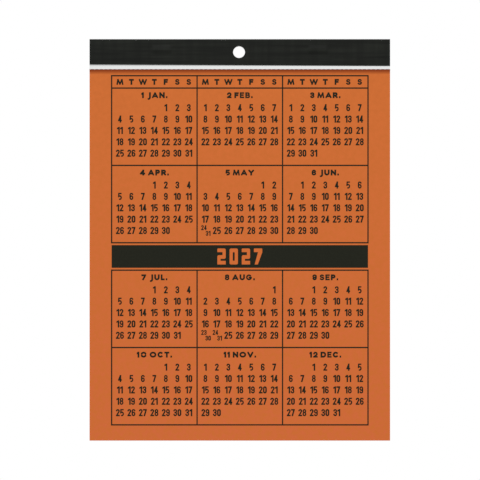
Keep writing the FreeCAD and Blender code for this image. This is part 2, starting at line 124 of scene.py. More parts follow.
# The camera and the light.
VIEW_CENTRE = (0.86 * MM, -165.8 * MM)
VIEW_WIDTH = 423.3 * MM
LENS = 110
SENSOR = 36
SUN_ELEVATION = 60
SUN_STRENGTH = 3.7
SUN_SOFTNESS = 12
SUN_TURN = -8
REAR_STRENGTH = 2.2
REAR_SOFTNESS = 40
REAR_TURN = 150
SKY_STRENGTH = 0.42

# The mix node has a set of sockets for each kind of value. These are the factor and the colours.
MIX_INPUTS = (0, 6, 7)
MIX_OUTPUT = 2

# How finely the tape is divided: along its length, and up its front as shares of its height.
LENGTH_STEPS = (6 * MM, 0.4 * MM)
HEIGHT_STEPS = (0.1, 0.018)
FOLD_STEP = 15
HOLE_SEGMENTS = 96
CUTTER_DEPTH = 20 * MM
SHARP_ANGLE = 40

# The flat shapes are cut in millimetres, and points nearer than this are one.
SAME_POINT = 1e-5


def linear(colour):
    """A colour from 0 to 255 as the linear values that a shader takes."""
    return [((channel / 255 + 0.055) / 1.055) ** 2.4 for channel in colour] + [1]


def shaded(colour, factor):
    """A linear colour made darker or lighter."""
    return [channel * factor for channel in colour[:3]] + [1]


def new_material(name, roughness, specular=0.3):
    """A material with its nodes, its links and its shader."""
    material = bpy.data.materials.new(name)
    material.use_nodes = True
    tree = material.node_tree
    shader = tree.nodes["Principled BSDF"]
    shader.inputs["Roughness"].default_value = roughness
    shader.inputs["Specular IOR Level"].default_value = specular
    return material, tree.nodes, tree.links, shader


def noise(nodes, links, scale, detail=4.0, stretch=(1, 1, 1)):
    """A noise pattern in the object's own coordinates."""
    place = nodes.new("ShaderNodeTexCoord")
    mapping = nodes.new("ShaderNodeMapping")
    mapping.inputs["Scale"].default_value = stretch
    links.new(place.outputs["Object"], mapping.inputs["Vector"])
    texture = nodes.new("ShaderNodeTexNoise")
    texture.inputs["Scale"].default_value = scale
    texture.inputs["Detail"].default_value = detail
    links.new(mapping.outputs["Vector"], texture.inputs["Vector"])
    return texture.outputs["Fac"]


def mix_colours(nodes, links, factor, first, second):
    """Blends two colours, each a list of values or the output of another node."""
    mix = nodes.new("ShaderNodeMix")
    mix.data_type = "RGBA"
    factor_socket, first_colour, second_colour = (mix.inputs[place] for place in MIX_INPUTS)
    links.new(factor, factor_socket)
    for socket, colour in ((first_colour, first), (second_colour, second)):
        if isinstance(colour, list):
            socket.default_value = colour
        else:
            links.new(colour, socket)
    return mix.outputs[MIX_OUTPUT]


def ramp(nodes, links, source, low, high):
    """Turns the values from low to high into 0 to 1."""
    span = nodes.new("ShaderNodeMapRange")
    span.inputs["From Min"].default_value = low
    span.inputs["From Max"].default_value = high
    links.new(source, span.inputs["Value"])
    return span.outputs["Result"]


def add_bump(nodes, links, shader, height, strength, distance):
    """Roughens a shader's surface by a height pattern."""
    bump = nodes.new("ShaderNodeBump")
    bump.inputs["Strength"].default_value = strength
    bump.inputs["Distance"].default_value = distance
    links.new(height, bump.inputs["Height"])
    links.new(bump.outputs["Normal"], shader.inputs["Normal"])


def object_place(nodes, links):
    """The x, y and z of the shaded point."""
    place = nodes.new("ShaderNodeTexCoord")
    split = nodes.new("ShaderNodeSeparateXYZ")
    links.new(place.outputs["Object"], split.inputs["Vector"])
    return split.outputs


def paper_fibres(nodes, links):
    """The fine height pattern of uncoated paper."""
    return noise(nodes, links, 1400, detail=6.0, stretch=(1.0, 1.0, 0.6))


def facing_back(nodes, links):
    """How far the surface faces the wall: 1 at the back, -1 at the front and 0 at the edges."""
    surface = nodes.new("ShaderNodeNewGeometry")
    direction = nodes.new("ShaderNodeSeparateXYZ")
    links.new(surface.outputs["True Normal"], direction.inputs["Vector"])
    return direction.outputs["Y"]


def computed(nodes, links, operation, *terms):
    """The result of one operation, each of whose terms is a number or another node's output."""
    sum_node = nodes.new("ShaderNodeMath")
    sum_node.operation = operation
    for socket, term in zip(sum_node.inputs, terms):
        if isinstance(term, (int, float)):
            socket.default_value = term
        else:
            links.new(term, socket)
    return sum_node.outputs["Value"]


def leaf_lines(nodes, links):
    """Painted shade: the dark lines between the leaves, where their edges show, stand in for the
    shade in the gaps. They follow the ridge that the leaves make under the tear-off line."""
    place = object_place(nodes, links)
    top = tape_high[2]
    upper = ramp(nodes, links, place["Z"], top - RIDGE_TOP_DROP, top - RIDGE_LAND_DROPS[0])
    lower = ramp(nodes, links, place["Z"], top - RIDGE_FOOT_DROP, top - RIDGE_LAND_DROPS[1])
    hollow = computed(nodes, links, "MULTIPLY", lower, lower)
    ridge = computed(nodes, links, "MULTIPLY", upper, hollow)
    depth = computed(nodes, links, "MULTIPLY_ADD", ridge, RIDGE_RISE, place["Y"])
    from_board = computed(nodes, links, "SUBTRACT", board_low[1], depth)
    leaves = computed(nodes, links, "DIVIDE", from_board, LEAF_THICKNESS)
    within = computed(nodes, links, "PINGPONG", leaves, 0.5)
    line = ramp(nodes, links, within, 0.16, 0.05)
    facing = computed(nodes, links, "ABSOLUTE", facing_back(nodes, links))
    edge = ramp(nodes, links, facing, 0.6, 0.3)
    return computed(nodes, links, "MULTIPLY", line, edge)


def white_paper_material():
    """Uncoated white paper, whose edges show as separate leaves by painted shade between them."""
    material, nodes, links, shader = new_material("white_paper", 0.85, 0.2)
    cloud = ramp(nodes, links, noise(nodes, links, 220), 0.35, 0.65)
    white = linear(PAPER_WHITE)
    clouded = mix_colours(nodes, links, cloud, shaded(white, 0.96), white)
    # Painted shade between the leaves, where their edges show.
    colour = mix_colours(nodes, links, leaf_lines(nodes, links), clouded, shaded(white, 0.42))
    links.new(colour, shader.inputs["Base Color"])
    add_bump(nodes, links, shader, paper_fibres(nodes, links), 0.25, 0.04 * MM)
    return material


def cover_paper_material():
    """The cover's paper: bare white on its back, at its edges and above the tear-off line, and
    printed solid orange on the front below it. Just under the tear-off line a darker, redder
    orange is painted shade along the fold, and the bare white is drawn darker than the leaves'
    white as painted shade."""
    material, nodes, links, shader = new_material("orange_paper", 0.75, 0.15)
    place = object_place(nodes, links)
    tear_line = cover_high[2] + TAPE_THICKNESS - PERFORATION_DROP
    below = ramp(nodes, links, place["Z"], tear_line + TEAR_BLUR, tear_line - TEAR_BLUR)
    front = ramp(nodes, links, facing_back(nodes, links), -0.55, -0.75)
    printed = computed(nodes, links, "MULTIPLY", below, front)
    down = ramp(nodes, links, place["Z"], tear_line, cover_low[2])
    orange = mix_colours(nodes, links, down, linear(ORANGE), linear(ORANGE_LOW))
    cloud = ramp(nodes, links, noise(nodes, links, 260, detail=5.0), 0.3, 0.7)
    mottled = mix_colours(nodes, links, cloud, shaded(linear(ORANGE), 0.93), orange)
    # Painted shade on the ridge's lower slope under the tear-off line, full just under it, fading
    # down.
    fold_shade = ramp(nodes, links, place["Z"], tear_line - FOLD_SHADE_RUN, tear_line - FOLD_SHADE_DROP)
    with_fold_shade = mix_colours(nodes, links, fold_shade, mottled, linear(ORANGE_FOLD_SHADE))
    colour = mix_colours(nodes, links, printed, linear(SHADED_STRIP_WHITE), with_fold_shade)
    links.new(colour, shader.inputs["Base Color"])
    add_bump(nodes, links, shader, paper_fibres(nodes, links), 0.3, 0.04 * MM)
    return material


def tape_material():
    """Black binding tape: a fine cloth grain with faint lines along its length and across it."""
    material, nodes, links, shader = new_material("tape", 0.6, 0.15)
    threads = noise(nodes, links, 900, detail=3.0, stretch=(0.12, 1.0, 1.0))
    streaks = ramp(nodes, links, noise(nodes, links, 300, stretch=(0.05, 1.0, 1.0)), 0.3, 0.7)
    wefts = ramp(nodes, links, noise(nodes, links, 180, stretch=(1.0, 1.0, 0.05)), 0.0, 0.7)
    weave = computed(nodes, links, "MULTIPLY", streaks, wefts)
    black = linear(TAPE_BLACK)
    colour = mix_colours(nodes, links, weave, shaded(black, 0.55), shaded(black, 1.8))
    links.new(colour, shader.inputs["Base Color"])
    add_bump(nodes, links, shader, threads, 0.4, 0.08 * MM)
    return material


def ink_material():
    """Matt black print, a little uneven where the paper takes it."""
    material, nodes, links, shader = new_material("black_ink", 0.65, 0.1)
    cloud = ramp(nodes, links, noise(nodes, links, 700), 0.3, 0.7)
    black = linear(INK_BLACK)
    colour = mix_colours(nodes, links, cloud, shaded(black, 0.88), shaded(black, 1.12))
    links.new(colour, shader.inputs["Base Color"])
    add_bump(nodes, links, shader, paper_fibres(nodes, links), 0.2, 0.03 * MM)
    return material


def board_material():
    """Grey board with flecks of darker and paler fibre."""
    material, nodes, links, shader = new_material("board", 0.9, 0.15)
    grey = linear(BOARD_GREY)
    cloud = ramp(nodes, links, noise(nodes, links, 60), 0.35, 0.65)
    ground = mix_colours(nodes, links, cloud, shaded(grey, 0.92), shaded(grey, 1.05))
    dark = ramp(nodes, links, noise(nodes, links, 1500, stretch=(0.35, 1, 1)), 0.62, 0.7)
    flecked = mix_colours(nodes, links, dark, ground, shaded(grey, 0.55))
    pale = ramp(nodes, links, noise(nodes, links, 1100, stretch=(1, 1, 0.3)), 0.64, 0.72)
    colour = mix_colours(nodes, links, pale, flecked, shaded(grey, 1.35))
    links.new(colour, shader.inputs["Base Color"])
    add_bump(nodes, links, shader, paper_fibres(nodes, links), 0.4, 0.06 * MM)
    return material


def steel_material():
    """Plain drawn wire, with fine lines along its length."""
    material, nodes, links, shader = new_material("staple_wire", 0.35, 0.5)
    shader.inputs["Metallic"].default_value = 1.0
    lines = noise(nodes, links, 4000, stretch=(0.05, 1, 1))
    steel = linear(STEEL)
    colour = mix_colours(nodes, links, lines, shaded(steel, 0.85), steel)
    links.new(colour, shader.inputs["Base Color"])
    add_bump(nodes, links, shader, lines, 0.2, 0.01 * MM)
    return material


def dress(thing, material):
    """Gives an object one material."""
    thing.data.materials.clear()
    thing.data.materials.append(material)


def new_piece(name, points, faces, material, slot, *nodes):
    """A mesh that takes the place of CAD nodes."""
    mesh = bpy.data.meshes.new(name)
    mesh.from_pydata(points, [], faces)
    build = bmesh.new()
    build.from_mesh(mesh)
    bmesh.ops.recalc_face_normals(build, faces=build.faces)
    build.to_mesh(mesh)
    build.free()
    piece = bpy.data.objects.new(name, mesh)
    bpy.context.collection.objects.link(piece)
    dress(piece, material)
    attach(piece, "root")
    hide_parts(*nodes)
    return piece


def arc(centre, radius, start, stop, steps=8):
    """Points along part of an ellipse. Angles are in degrees, and radius is (across, up)."""
    points = []
    for step in range(steps + 1):
        angle = math.radians(start + (stop - start) * step / steps)
        points.append((centre[0] + radius[0] * math.cos(angle),
                       centre[1] + radius[1] * math.sin(angle)))
    return points


# Each sign's strokes, as the points down their middles, in a box of the given width and height.
def figure_0(wide, tall):
    radius = wide / 2
    top = arc((radius, tall - radius), (radius, radius), 0, 180)
    foot = arc((radius, radius), (radius, radius), 180, 360)
    return [top + foot + [(wide, tall - radius)]]


def figure_1(wide, tall):
    return [[(wide - tall * 0.3, tall * 0.84), (wide, tall * 0.99)], [(wide, tall), (wide, 0)]]


def figure_2(wide, tall):
    radius = wide / 2
    neck = arc((radius, tall - radius), (radius, radius), 165, -25)
    return [neck + [(wide * 0.05, 0)], [(0, 0), (wide, 0)]]


def figure_3(wide, tall):
    waist = tall * 0.52
    upper = (tall - waist) / 2
    lower = waist / 2
    top = arc((wide / 2, tall - upper), (wide / 2, upper), 165, -90)
    foot = arc((wide / 2, lower), (wide / 2, lower), 90, -165)
    return [top, foot]


def figure_4(wide, tall):
    stem = wide * 0.72
    bar = tall * 0.25
    return [[(stem, tall), (0, bar), (wide, bar)], [(stem, tall), (stem, 0)]]


def figure_5(wide, tall):
    bowl = tall * 0.29
    shoulder = (0, tall * 0.47)
    return [[(wide * 0.9, tall), (wide * 0.08, tall), shoulder],
            [shoulder] + arc((wide / 2, bowl), (wide / 2, bowl), 115, -105)]


def figure_6(wide, tall):
    radius = wide / 2
    bowl = tall * 0.28
    neck = arc((radius, tall - radius), (radius, radius), 20, 180)
    ring = arc((radius, bowl), (radius, bowl), 180, 540, 16)
    return [neck + [(0, bowl)], ring]


def figure_7(wide, tall):
    return [[(0, tall), (wide, tall), (wide * 0.28, 0)]]


def figure_8(wide, tall):
    waist = tall * 0.53
    upper = (tall - waist) / 2
    lower = waist / 2
    return [arc((wide / 2, tall - upper), (wide * 0.46, upper), 90, 450, 16),
            arc((wide / 2, lower), (wide / 2, lower), 90, 450, 16)]


def figure_9(wide, tall):
    return [[(wide - across, tall - up) for across, up in points] for points in figure_6(wide, tall)]


def letter_a(wide, tall):
    bar = tall * 0.24
    return [[(0, 0), (wide / 2, tall)], [(wide / 2, tall), (wide, 0)],
            [(wide * 0.17, bar), (wide * 0.83, bar)]]


def letter_b(wide, tall):
    upper = tall * 0.24
    lower = tall * 0.26
    waist = (0, 2 * lower)
    top = arc((wide - upper * 1.25, tall - upper), (upper, upper), 90, -90)
    foot = arc((wide - lower, lower), (lower, lower), 90, -90)
    return [[(0, 0), (0, tall)], [(0, tall)] + top + [waist], [waist] + foot + [(0, 0)]]


def letter_c(wide, tall):
    radius = tall / 2
    return [arc((radius, radius), (radius, radius), 52, 308, 16)]


def letter_d(wide, tall):
    radius = tall / 2
    bowl = arc((wide - radius, radius), (radius, radius), 90, -90, 12)
    return [[(0, 0), (0, tall)], [(0, tall)] + bowl + [(0, 0)]]


def letter_e(wide, tall):
    bar = tall * 0.52
    return [[(wide, tall), (0, tall), (0, 0), (wide, 0)], [(0, bar), (wide * 0.85, bar)]]


def letter_f(wide, tall):
    bar = tall * 0.5
    return [[(wide, tall), (0, tall), (0, 0)], [(0, bar), (wide * 0.85, bar)]]


def letter_g(wide, tall):
    radius = tall / 2
    bar = radius * 0.92
    return [arc((radius, radius), (radius, radius), 52, 350, 18),
            [(radius * 2, bar), (radius * 1.2, bar)]]


def letter_j(wide, tall):
    radius = wide * 0.75
    hook = arc((wide - radius, 0), (radius, radius), 0, -80, 6)
    return [[(wide, tall), (wide, 0)] + hook[1:]]


def letter_l(wide, tall):
    return [[(0, tall), (0, 0), (wide, 0)]]


def letter_m(wide, tall):
    left = (wide * 0.14, tall)
    dip = (wide / 2, tall * 0.05)
    right = (wide * 0.86, tall)
    return [[(0, 0), left], [left, dip], [dip, right], [right, (wide, 0)]]


def letter_n(wide, tall):
    return [[(0, 0), (0, tall)], [(0, tall), (wide, 0)], [(wide, 0), (wide, tall)]]


def letter_o(wide, tall):
    return [arc((wide / 2, tall / 2), (wide / 2, tall / 2), 90, 450, 24)]


def letter_p(wide, tall):
    radius = tall * 0.28
    bowl = arc((wide - radius, tall - radius), (radius, radius), 90, -90)
    return [[(0, 0), (0, tall)], [(0, tall)] + bowl + [(0, tall - 2 * radius)]]


def letter_r(wide, tall):
    return letter_p(wide * 0.95, tall) + [[(wide * 0.42, tall * 0.44), (wide, 0)]]


def letter_s(wide, tall):
    upper = tall * 0.24
    lower = tall * 0.26
    top = arc((wide / 2, tall - upper), (wide * 0.45, upper), 30, 240, 10)
    foot = arc((wide / 2, lower), (wide / 2, lower), 60, -150, 10)
    return [top + foot]


def letter_t(wide, tall):
    return [[(0, tall), (wide, tall)], [(wide / 2, tall), (wide / 2, 0)]]


def letter_u(wide, tall):
    radius = wide / 2
    return [[(0, tall)] + arc((radius, radius), (radius, radius), 180, 360, 10) + [(wide, tall)]]


def letter_v(wide, tall):
    return [[(0, tall), (wide / 2, 0)], [(wide / 2, 0), (wide, tall)]]


def letter_w(wide, tall):
    left = (wide * 0.25, 0)
    peak = (wide / 2, tall)
    right = (wide * 0.75, 0)
    return [[(0, tall), left], [left, peak], [peak, right], [right, (wide, tall)]]


def letter_y(wide, tall):
    fork = (wide / 2, tall * 0.45)
    return [[(0, tall), fork], [fork, (wide, tall)], [(wide / 2, tall * 0.5), (wide / 2, 0)]]


SIGNS = {"0": figure_0, "1": figure_1, "2": figure_2, "3": figure_3, "4": figure_4, "5": figure_5,
         "6": figure_6, "7": figure_7, "8": figure_8, "9": figure_9, "A": letter_a, "B": letter_b,
         "C": letter_c, "D": letter_d, "E": letter_e, "F": letter_f, "G": letter_g, "J": letter_j,
         "L": letter_l, "M": letter_m, "N": letter_n, "O": letter_o, "P": letter_p, "R": letter_r,
         "S": letter_s, "T": letter_t, "U": letter_u, "V": letter_v, "W": letter_w, "Y": letter_y}

# The widths of the signs of the titles, as shares of their height.
TITLE_WIDTHS = {"0": 1.08, "1": 0.44, "2": 0.78, "3": 0.74, "4": 0.9, "5": 0.76, "6": 0.76,
                "7": 0.82, "8": 0.78, "9": 0.76, ".": 0.26, "A": 1.06, "B": 0.8, "C": 0.98,
                "D": 0.96, "E": 0.74, "F": 0.74, "G": 1.04, "J": 0.7, "L": 0.66, "M": 1.2,
                "N": 0.94, "O": 1.16, "P": 0.8, "R": 0.86, "S": 0.78, "T": 0.84, "U": 0.92,
                "V": 1.04, "W": 1.42, "Y": 1.0}

# How far a J's hook hangs down, as a share of its height, and how far a full stop is drawn up, as a
# share of half its stroke.
HOOK_DROP = 0.28
DOT_RISE = 0.2

# Corners sharper than this cosine aren't drawn out any further.
SHARPEST_MITRE = 0.4

# Signs with several level strokes are drawn lighter, as shares of the full stroke.
SIGN_WEIGHTS = {"S": 0.82, "E": 0.85, "B": 0.82, "8": 0.85, "3": 0.88, "5": 0.88, "6": 0.88,
                "9": 0.88, "2": 0.92, "G": 0.9, "A": 0.92, "M": 0.88, "W": 0.88}


def lengthened(points, reach):
    """An open stroke with both of its ends drawn out."""
    points = [Vector(point) for point in points]
    if (points[0] - points[-1]).length < reach * 0.01:
        return points
    points[0] = points[0] + (points[0] - points[1]).normalized() * reach
    points[-1] = points[-1] + (points[-1] - points[-2]).normalized() * reach
    return points


def stroke_quads(points, half):
    """The quadrilaterals of a stroke with the given half width, joined at mitred corners."""
    closed = (points[0] - points[-1]).length < half * 0.01
    if closed:
        points = points[:-1]
    count = len(points)
    spans = count if closed else count - 1
    ways = [(points[(n + 1) % count] - points[n]).normalized() for n in range(spans)]
    sides = [Vector((-way.y, way.x)) for way in ways]
    borders = []
    for n, point in enumerate(points):
        before = sides[(n - 1) % spans] if closed or n > 0 else sides[0]
        after = sides[n % spans] if closed or n < spans else sides[-1]
        mitre = (before + after).normalized()
        reach = half / max(mitre.dot(after), SHARPEST_MITRE)
        borders.append((point + mitre * reach, point - mitre * reach))
    return [(borders[n][1], borders[(n + 1) % count][1], borders[(n + 1) % count][0], borders[n][0])
            for n in range(spans)]


def rectangle(low, high):
    """The corners of an upright rectangle, each as (across, up)."""
    return [Vector((low[0], low[1])), Vector((high[0], low[1])),
            Vector((high[0], high[1])), Vector((low[0], high[1]))]


def flat_triangles(corners, edges, faces):
    """Cuts flat faces into triangles. Gives the points in millimetres, the triangles and the faces
    that cover each triangle."""
    grown = [corner / MM for corner in corners]
    points, _, triangles, _, _, origins = geometry.delaunay_2d_cdt(
        grown, edges, faces, 0, SAME_POINT, True)
    return points, triangles, origins


def in_metres(points):
    """Points in millimetres as (across, up) in metres."""
    return [(point.x * MM, point.y * MM) for point in points]


def merged_shape(quads, low, high):
    """The flat shape that quadrilaterals cover inside a rectangle, as points and triangles."""
    corners = rectangle(low, high)
    edges = [(0, 1), (1, 2), (2, 3), (3, 0)]
    faces = []
    for quad in quads:
        faces.append([len(corners) + n for n in range(4)])
        corners.extend(quad)
    points, triangles, origins = flat_triangles(corners, edges, faces)
    kept = []
    for triangle, origin in zip(triangles, origins):
        middle = sum((points[corner] for corner in triangle), Vector((0, 0))) / 3 * MM
        inside = low[0] < middle.x < high[0] and low[1] < middle.y < high[1]
        if origin and inside:
            kept.append(triangle)
    return in_metres(points), kept


sign_shapes = {}


def sign_shape(sign, width, height, stroke):
    """A sign's flat shape, with its lower left corner at the origin."""
    key = (sign, width, height)
    if key not in sign_shapes:
        stroke = stroke * SIGN_WEIGHTS.get(sign, 1)
        half = stroke / 2
        if sign == ".":
            strokes = [[(0, 0), (0, half * DOT_RISE)]]
        else:
            strokes = SIGNS[sign](width - stroke, height - stroke)
        quads = []
        for points in strokes:
            moved = [(across + half, up + half) for across, up in points]
            quads += stroke_quads(lengthened(moved, half), half)
        foot = -HOOK_DROP * height if sign == "J" else 0
        sign_shapes[key] = merged_shape(quads, (0, foot), (width, height))
    return sign_shapes[key]


class Ink:
    """Flat print on the cover, gathered sign by sign into one mesh."""

    def __init__(self, node):
        low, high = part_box(node)
        self.node = node
        self.front = low[1]
        self.back = high[1]
        self.points = []
        self.faces = []

    def add(self, shape, left, foot, scale=1.0):
        """Adds one sign with its lower left corner at a place."""
        corners, triangles = shape
        used = sorted({corner for triangle in triangles for corner in triangle})
        number = {corner: place for place, corner in enumerate(used)}
        first = len(self.points)
        count = len(used)
        for depth in (self.front, self.back):
            for corner in used:
                across, up = corners[corner]
                self.points.append((left + across * scale, depth, foot + up * scale))
        rim = set()
        for triangle in triangles:
            around = [number[corner] for corner in triangle]
            self.faces.append([first + corner for corner in around])
            self.faces.append([first + count + corner for corner in reversed(around)])
            for start, stop in zip(around, around[1:] + around[:1]):
                if (stop, start) in rim:
                    rim.remove((stop, start))
                else:
                    rim.add((start, stop))
        for start, stop in sorted(rim):
            self.faces.append([first + start, first + count + start,
                               first + count + stop, first + stop])

    def finish(self, name, material):
        """Makes the mesh, in place of its node."""
        new_piece(name, self.points, self.faces, material, "black_ink", self.node)


rules_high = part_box("printed_rules")[1]
band_low, band_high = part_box("printed_year_band")
tape_low, tape_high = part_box("binding_tape")
cover_low, cover_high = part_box("cover_sheet")
board_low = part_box("backing_board")[0]

# The print's back lies on the cover's front.
cover_front = rules_high[1]
print_left = band_low[0]
cell_width = (band_high[0] - band_low[0]) / MONTHS_ACROSS
header_top = rules_high[2] - RULE_WIDTH / 2
upper_top = header_top - HEADER_HEIGHT
month_height = (upper_top - band_high[2] - BAND_GAP) / BLOCK_ROWS
lower_top = band_low[2] - BAND_GAP
day_column_pitch = (cell_width - 2 * DAY_INSET) / (WEEK_DAYS - 1)


def cell_corner(month):
    """The left edge and the top of a month's cell. January is month 0."""
    row, column = divmod(month, MONTHS_ACROSS)
    left = print_left + cell_width * column
    if row < BLOCK_ROWS:
        return left, upper_top - month_height * row
    return left, lower_top - month_height * (row - BLOCK_ROWS)


def place_days(month):
    """Where a month's numbers go, as (day, across, down, scale) from the middle of the first row's
    first column. A sixth week shares the fifth row, two small numbers to a place."""
    first_weekday, days = calendar.monthrange(YEAR, month + 1)
    for day in range(1, days + 1):
        week, weekday = divmod(first_weekday + day - 1, WEEK_DAYS)
        across = weekday * day_column_pitch
        down = week * DAY_ROW_PITCH
        if week == WEEK_ROWS:
            yield day, across + SPLIT_SHIFT_LOWER, down - DAY_ROW_PITCH + SPLIT_RISE, SPLIT_SCALE
        elif week == WEEK_ROWS - 1 and day + WEEK_DAYS <= days:
            yield day, across - SPLIT_SHIFT_UPPER, down - SPLIT_RISE, SPLIT_SCALE
        else:
            yield day, across, down, 1.0


def print_days(material):
    """Prints the numbers of all the days."""
    ink = Ink("printed_day_marks")
    for month in range(len(MONTH_TITLES)):
        left, top = cell_corner(month)
        for day, across, down, scale in place_days(month):
            widths = [ONE_WIDTH if figure == "1" else DIGIT_WIDTH for figure in str(day)]
            length = (sum(widths) + DIGIT_GAP * (len(widths) - 1)) * scale
            start = left + DAY_INSET + across - length / 2
            foot = top - DAY_DROP - down - DIGIT_HEIGHT * scale / 2
            for figure, width in zip(str(day), widths):
                ink.add(sign_shape(figure, width, DIGIT_HEIGHT, DIGIT_STROKE), start, foot, scale)
                start += (width + DIGIT_GAP) * scale
    ink.finish("day_numbers", material)


def rule_quads(tops, left, right):
    """The lines of one block of months, as quadrilaterals."""
    half = RULE_WEIGHT / 2
    lines = [[(left, top), (right, top)] for top in tops]
    for column in range(MONTHS_ACROSS + 1):
        across = left + cell_width * column
        lines.append([(across, tops[0]), (across, tops[-1])])
    return [quad for line in lines for quad in stroke_quads(lengthened(line, half), half)]


def print_rules(material):
    """Prints the lines round the months, in one block over the band and one below it."""
    ink = Ink("printed_rules")
    right = print_left + cell_width * MONTHS_ACROSS
    upper = [header_top] + [upper_top - month_height * row for row in range(BLOCK_ROWS + 1)]
    lower = [lower_top - month_height * row for row in range(BLOCK_ROWS + 1)]
    for tops in (upper, lower):
        low = (print_left - RULE_WEIGHT, tops[-1] - RULE_WEIGHT)
        high = (right + RULE_WEIGHT, tops[0] + RULE_WEIGHT)
        ink.add(merged_shape(rule_quads(tops, print_left, right), low, high), 0, 0)
    ink.finish("rules", material)


def softened(points, radii):
    """An outline whose corners are rounded by their radii. A corner with none stays sharp."""
    outline = []
    count = len(points)
    for place, (point, radius) in enumerate(zip(points, radii)):
        corner = Vector(point)
        if not radius:
            outline.append(corner)
            continue
        start = corner + (Vector(points[place - 1]) - corner).normalized() * radius
        stop = corner + (Vector(points[(place + 1) % count]) - corner).normalized() * radius
        for step in range(ROUNDING_STEPS + 1):
            share = step / ROUNDING_STEPS
            outline.append(start * (1 - share) ** 2 + corner * 2 * share * (1 - share)
                           + stop * share ** 2)
    return outline


def numeral_two(left, low):
    """A block figure two: three bars joined by two short uprights."""
    soft = NUMERAL_ROUNDING
    right = left + NUMERAL_WIDTH
    high = low + NUMERAL_HEIGHT
    waist = low + NUMERAL_BAR + NUMERAL_SLOT
    waist_top = waist + NUMERAL_BAR
    points = ((left, low), (right, low), (right, low + NUMERAL_BAR),
              (left + NUMERAL_COLUMN, low + NUMERAL_BAR), (left + NUMERAL_COLUMN, waist),
              (right, waist), (right, high), (left, high), (left, high - NUMERAL_BAR),
              (right - NUMERAL_COLUMN, high - NUMERAL_BAR), (right - NUMERAL_COLUMN, waist_top),
              (left, waist_top))
    return [softened(points, (0, 0, 0, 0, 0, soft, soft, soft / 2, 0, 0, 0, soft))], []


def numeral_zero(left, low):
    """A block figure nought: a rounded frame with a narrow slot."""
    right = left + NUMERAL_WIDTH
    high = low + NUMERAL_HEIGHT
    body = softened(((left, low), (right, low), (right, high), (left, high)), [NUMERAL_ROUNDING] * 4)
    inner = ((left + NUMERAL_COLUMN, low + NUMERAL_BAR), (right - NUMERAL_COLUMN, low + NUMERAL_BAR),
             (right - NUMERAL_COLUMN, high - NUMERAL_BAR), (left + NUMERAL_COLUMN, high - NUMERAL_BAR))
    return [body], [softened(inner, [(NUMERAL_WIDTH / 2 - NUMERAL_COLUMN) * SLOT_SHARE] * 4)]


def numeral_seven(left, low):
    """A block figure seven: a bar over a slanting leg."""
    right = left + NUMERAL_WIDTH
    high = low + NUMERAL_HEIGHT
    foot = left + SEVEN_FOOT
    lean = (right - foot - NUMERAL_COLUMN) * (1 - NUMERAL_BAR / NUMERAL_HEIGHT)
    points = ((foot, low), (foot + NUMERAL_COLUMN, low), (right, high - NUMERAL_BAR), (right, high),
              (left, high), (left, high - NUMERAL_BAR), (foot + lean, high - NUMERAL_BAR))
    return [softened(points, (0, 0, 0, NUMERAL_ROUNDING / 3, NUMERAL_ROUNDING / 3, 0, 0))], []


NUMERALS = {"0": numeral_zero, "2": numeral_two, "7": numeral_seven}


def print_band(material):
    """Prints the band, with the figures of the year left clear of ink."""
    ink = Ink("printed_year_band")
    centre = (band_low[0] + band_high[0]) / 2
    low = (band_low[2] + band_high[2]) / 2 - NUMERAL_HEIGHT / 2
    year = str(YEAR)
    first = centre - (NUMERAL_PITCH * (len(year) - 1) + NUMERAL_WIDTH) / 2
    figures, slots = [], []
    for place, figure in enumerate(year):
        bodies, holes = NUMERALS[figure](first + NUMERAL_PITCH * place, low)
        figures += bodies
        slots += holes
    corners = rectangle((band_low[0], band_low[2]), (band_high[0], band_high[2]))
    faces = []
    for outline in [list(corners)] + figures + slots:
        faces.append([len(corners) + n for n in range(len(outline))])
        corners.extend(outline)
    points, triangles, origins = flat_triangles(corners, [], faces)
    kept = []
    for triangle, origin in zip(triangles, origins):
        on_figure = any(0 < face <= len(figures) for face in origin)
        on_slot = any(face > len(figures) for face in origin)
        if origin and (on_slot or not on_figure):
            kept.append(triangle)
    ink.add((in_metres(points), kept), 0, 0)
    ink.finish("year_band", material)


def title_sign_width(sign):
    """The width of one sign of a title."""
    return TITLE_WIDTHS[sign] * CAPITAL_HEIGHT


def title_width(title):
    """The length of a title once printed."""
    signs = [sign for sign in title if sign != " "]
    return (sum(title_sign_width(sign) for sign in signs) + LETTER_GAP * (len(signs) - 1)
            + WORD_GAP * title.count(" "))


def print_title(ink, title, centre, middle):
    """Prints one title about a point."""
    left = centre - title_width(title) / 2
    for sign in title:
        if sign == " ":
            left += WORD_GAP
            continue
        width = title_sign_width(sign)
        shape = sign_shape(sign, width, CAPITAL_HEIGHT, CAPITAL_STROKE)
        ink.add(shape, left, middle - CAPITAL_HEIGHT / 2)
        left += width + LETTER_GAP


def print_headings(material):
    """Prints the months' titles and the initials of the weekdays."""
    ink = Ink("printed_headings")
    for month, title in enumerate(MONTH_TITLES):
        left, top = cell_corner(month)
        print_title(ink, title, left + cell_width / 2, top - TITLE_DROP)
    for column in range(MONTHS_ACROSS):
        first = print_left + cell_width * column + DAY_INSET
        for weekday, initial in enumerate(WEEKDAY_INITIALS):
            print_title(ink, initial, first + weekday * day_column_pitch, header_top - WEEKDAY_DROP)
    ink.finish("headings", material)


def spread(start, stop, coarse, fine, fine_spans):
    """Values from start to stop, close together inside the fine spans."""
    values = [start]
    while values[-1] < stop:
        place = values[-1]
        near = any(low - coarse < place < high for low, high in fine_spans)
        values.append(min(place + (fine if near else coarse), stop))
    return values


def smooth_fall(distance, reach):
    """1 at no distance, easing to 0 at the reach."""
    if distance >= reach:
        return 0.0
    return 0.5 + 0.5 * math.cos(math.pi * distance / reach)


